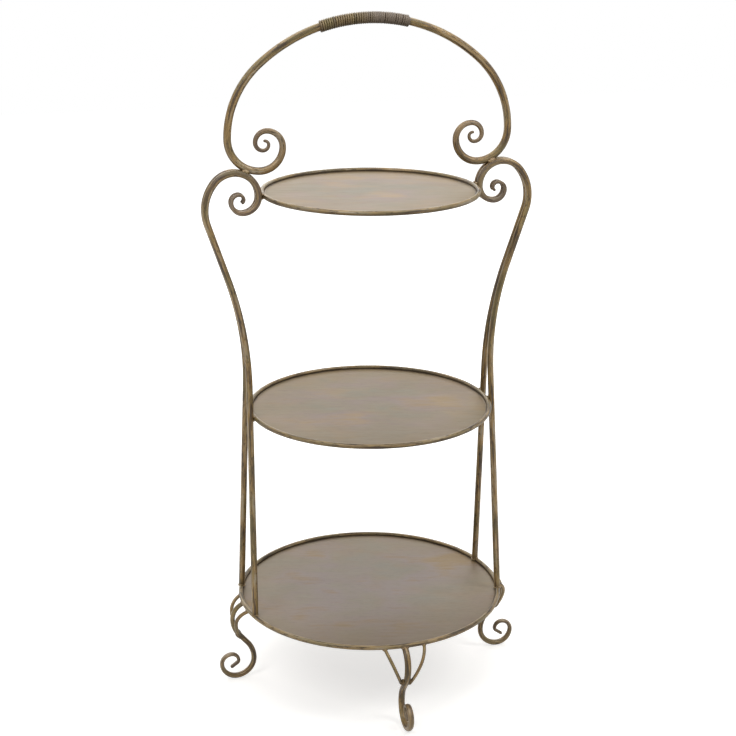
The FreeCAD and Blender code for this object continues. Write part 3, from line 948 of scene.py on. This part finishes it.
# Collars round the feet of the uprights, and under the rim round each foot and brace
collars = []
for x, y in rodSides.values():
    start, leg = mirrored([rodSpots["lower"], rodSpots["leg"]], x, y)
    collars.append(weldCollar(start, leg, Vector((1, 0, 0)), uprights["diameter"], uprights["diameter"],
                              welds["legCollarSeed"]))
    contacts.append((start + leg * contactUmberAndShade["legUp"], contactUmberAndShade["leg"]))
braceSpots = []
shinAlong = heading(-90 - feet["lean"])
shinOut = heading(-feet["lean"])
braceEnd = bowEnd - shinAlong * welds["braceBack"] + Vector((0, feet["width"] / 2 + welds["braceOut"], 0))
for degrees, *_ in footPlaces.values():
    start, first, sideward = turned([footStart, heading(feet["startAngle"] - 90), Vector((0, 1, 0))], degrees)
    collars.append(weldCollar(start, first, sideward, feet["width"], feet["thickness"] * feet["topFlat"],
                              welds["footCollarSeed"]))
    for y in (1, -1):
        points = turned(mirrored(bracePoints, y=y), degrees)
        collars.append(weldCollar(points[0], (points[1] - points[0]).normalized(), Vector((0, 0, 1)),
                                  feet["braceDepth"], feet["brace"], welds["braceCollarSeed"]))
        contacts.append((points[-1], contactUmberAndShade["brace"]))
        for outward in (1, -1):
            spot = [braceEnd + shinOut * (welds["braceApart"] * outward), shinAlong, shinOut]
            spot = turned(mirrored(spot, y=y), degrees)
            braceSpots.append((*spot, welds["brace"]))
pieces.append(finishMesh("foot_weld_collars", *joinData(collars), weldMaterial, "weld_bead"))
# the beads at the ankles are drawn darker, in the rod paint
data = weldLumps(braceSpots, welds["braceSeed"], (welds["braceDark"], 0.0))
pieces.append(finishMesh("brace_weld_beads", *data, rodMaterial, "weld_bead"))
print("welds made")


# Where rods meet, the paint darkens towards each contact: painted shade, over some umber left in the joints
def umberAndShadeAtContacts(piece):
    mesh = piece.data
    count = len(mesh.vertices)
    places = np.empty(count * 3)
    mesh.vertices.foreach_get("co", places)
    places = places.reshape(-1, 3) / metres
    values = np.empty(count)
    mesh.attributes["umberAndShade"].data.foreach_get("value", values)
    for place, reach in contacts:
        gap = np.linalg.norm(places - np.array(place), axis=1)
        values = np.maximum(values, contactUmberAndShade["most"] * np.clip(1 - gap / reach, 0, 1))
    mesh.attributes["umberAndShade"].data.foreach_set("value", values)


for piece in pieces:
    if piece.data.materials[0] != weldMaterial:
        umberAndShadeAtContacts(piece)

# Floor and light: a pale floor that keeps the shadow, and soft boxes overhead, behind and on each side
studio = {  # in metres
    "floorSide": 12.0, "floorColour": "#d8d6d2",
    "glowNear": 0.65, "glowFar": 1.0, "glowStart": 0.5, "glowEnd": 1.6,  # the floor whitens away from the feet
    "worldDiffuse": 0.2,  # how much the white surround lights the stand
    "lamps": {
        "overheadBox": {"at": (0.0, -0.1, 3.0), "size": (3.0, 3.0), "watts": 36.0},
        "backBox": {"at": (0.0, 2.6, 2.5), "size": (4.4, 2.8), "watts": 64.0},
        "leftBox": {"at": (-1.6, -1.4, 2.5), "size": (0.9, 1.2), "watts": 22.0},
        "rightBox": {"at": (1.6, -1.2, 2.5), "size": (0.9, 1.2), "watts": 22.0},
    },
    "aim": (0, 0, 0.55),
}


def seenRays(tree):
    rays = addNode(tree, "ShaderNodeLightPath").outputs
    seen = addNode(tree, "ShaderNodeMath", {"operation": "MAXIMUM"}, {
        0: rays["Is Camera Ray"], 1: rays["Is Glossy Ray"],
    }).outputs[0]
    return addNode(tree, "ShaderNodeMath", {"operation": "MAXIMUM"}, {
        0: seen, 1: rays["Is Transmission Ray"],
    }).outputs[0]


def makeFloor():
    half = studio["floorSide"] / 2
    mesh = bpy.data.meshes.new("studio_floor")
    corners = [(-half, -half, 0), (half, -half, 0), (half, half, 0), (-half, half, 0)]
    mesh.from_pydata(corners, [], [(0, 1, 2, 3)])
    floor = bpy.data.objects.new("studio_floor", mesh)
    bpy.context.scene.collection.objects.link(floor)
    # matt paper has no gloss: white to the eye, apart from the shadow
    material, tree = newMaterial("mattPaperSweep")
    paper = addNode(tree, "ShaderNodeBsdfDiffuse", None, {
        "Color": hexToLinear(studio["floorColour"]),
    }).outputs[0]
    ground = addNode(tree, "ShaderNodeTexCoord").outputs["Object"]
    reach = addNode(tree, "ShaderNodeVectorMath", {"operation": "LENGTH"}, {0: ground}).outputs["Value"]
    strength = addNode(tree, "ShaderNodeMapRange", {"interpolation_type": "SMOOTHSTEP"}, {
        "Value": reach, "From Min": studio["glowStart"], "From Max": studio["glowEnd"],
        "To Min": studio["glowNear"], "To Max": studio["glowFar"],
    }).outputs[0]
    glow = addNode(tree, "ShaderNodeEmission", None, {"Strength": strength}).outputs[0]
    both = addNode(tree, "ShaderNodeAddShader", None, {0: paper, 1: glow}).outputs[0]
    mixed = addNode(tree, "ShaderNodeMixShader", None, {0: seenRays(tree), 1: paper, 2: both}).outputs[0]
    addNode(tree, "ShaderNodeOutputMaterial", None, {"Surface": mixed})
    mesh.materials.append(material)


def makeWorld():
    world = bpy.data.worlds.new("whiteStudio")
    world.use_nodes = True
    tree = world.node_tree
    tree.nodes.clear()
    strength = addNode(tree, "ShaderNodeMapRange", None, {
        "Value": seenRays(tree), "To Min": studio["worldDiffuse"], "To Max": 1.0,
    }).outputs[0]
    background = addNode(tree, "ShaderNodeBackground", None, {"Color": (1, 1, 1, 1), "Strength": strength})
    addNode(tree, "ShaderNodeOutputWorld", None, {"Surface": background.outputs[0]})
    bpy.context.scene.world = world


def makeLamps():
    for name, lamp in studio["lamps"].items():
        light = bpy.data.lights.new(name, "AREA")
        light.shape = "RECTANGLE"
        light.size, light.size_y = lamp["size"]
        light.energy = lamp["watts"]
        box = bpy.data.objects.new(name, light)
        box.location = lamp["at"]
        box.rotation_mode = "QUATERNION"
        box.rotation_quaternion = (Vector(studio["aim"]) - Vector(lamp["at"])).to_track_quat("-Z", "Y")
        box.visible_camera = False
        bpy.context.scene.collection.objects.link(box)


makeFloor()
makeWorld()
makeLamps()
print("studio lit")

# Camera: fitted to the three rims, the handle and the feet, for a square picture
view = {
    "azimuth": -15.0, "elevation": 18.49, "roll": 0.148, "distance": 2401.3, "target": (0, 0, 484.0),
    "side": 736, "focalPixels": 1556.1, "middle": (369.87, 380.83), "sensor": 36.0,
}
azimuth, elevation, roll = (math.radians(view[key]) for key in ("azimuth", "elevation", "roll"))
level = math.cos(elevation)
back = Vector((math.sin(azimuth) * level, -math.cos(azimuth) * level, math.sin(elevation)))
right = Vector((math.cos(azimuth), math.sin(azimuth), 0))
right = right * math.cos(roll) + back.cross(right) * math.sin(roll)
up = back.cross(right)
lens = bpy.data.cameras.new("pictureCamera")
lens.sensor_width = view["sensor"]
lens.lens = view["sensor"] * view["focalPixels"] / view["side"]
lens.shift_x = (view["side"] / 2 - view["middle"][0]) / view["side"]
lens.shift_y = (view["middle"][1] - view["side"] / 2) / view["side"]
camera = bpy.data.objects.new("pictureCamera", lens)
place = (Vector(view["target"]) + back * view["distance"]) * metres
camera.matrix_world = Matrix.Translation(place) @ Matrix((right, up, back)).transposed().to_4x4()
bpy.context.scene.collection.objects.link(camera)
bpy.context.scene.camera = camera
bpy.context.scene.view_settings.view_transform = "Standard"
print("camera set")
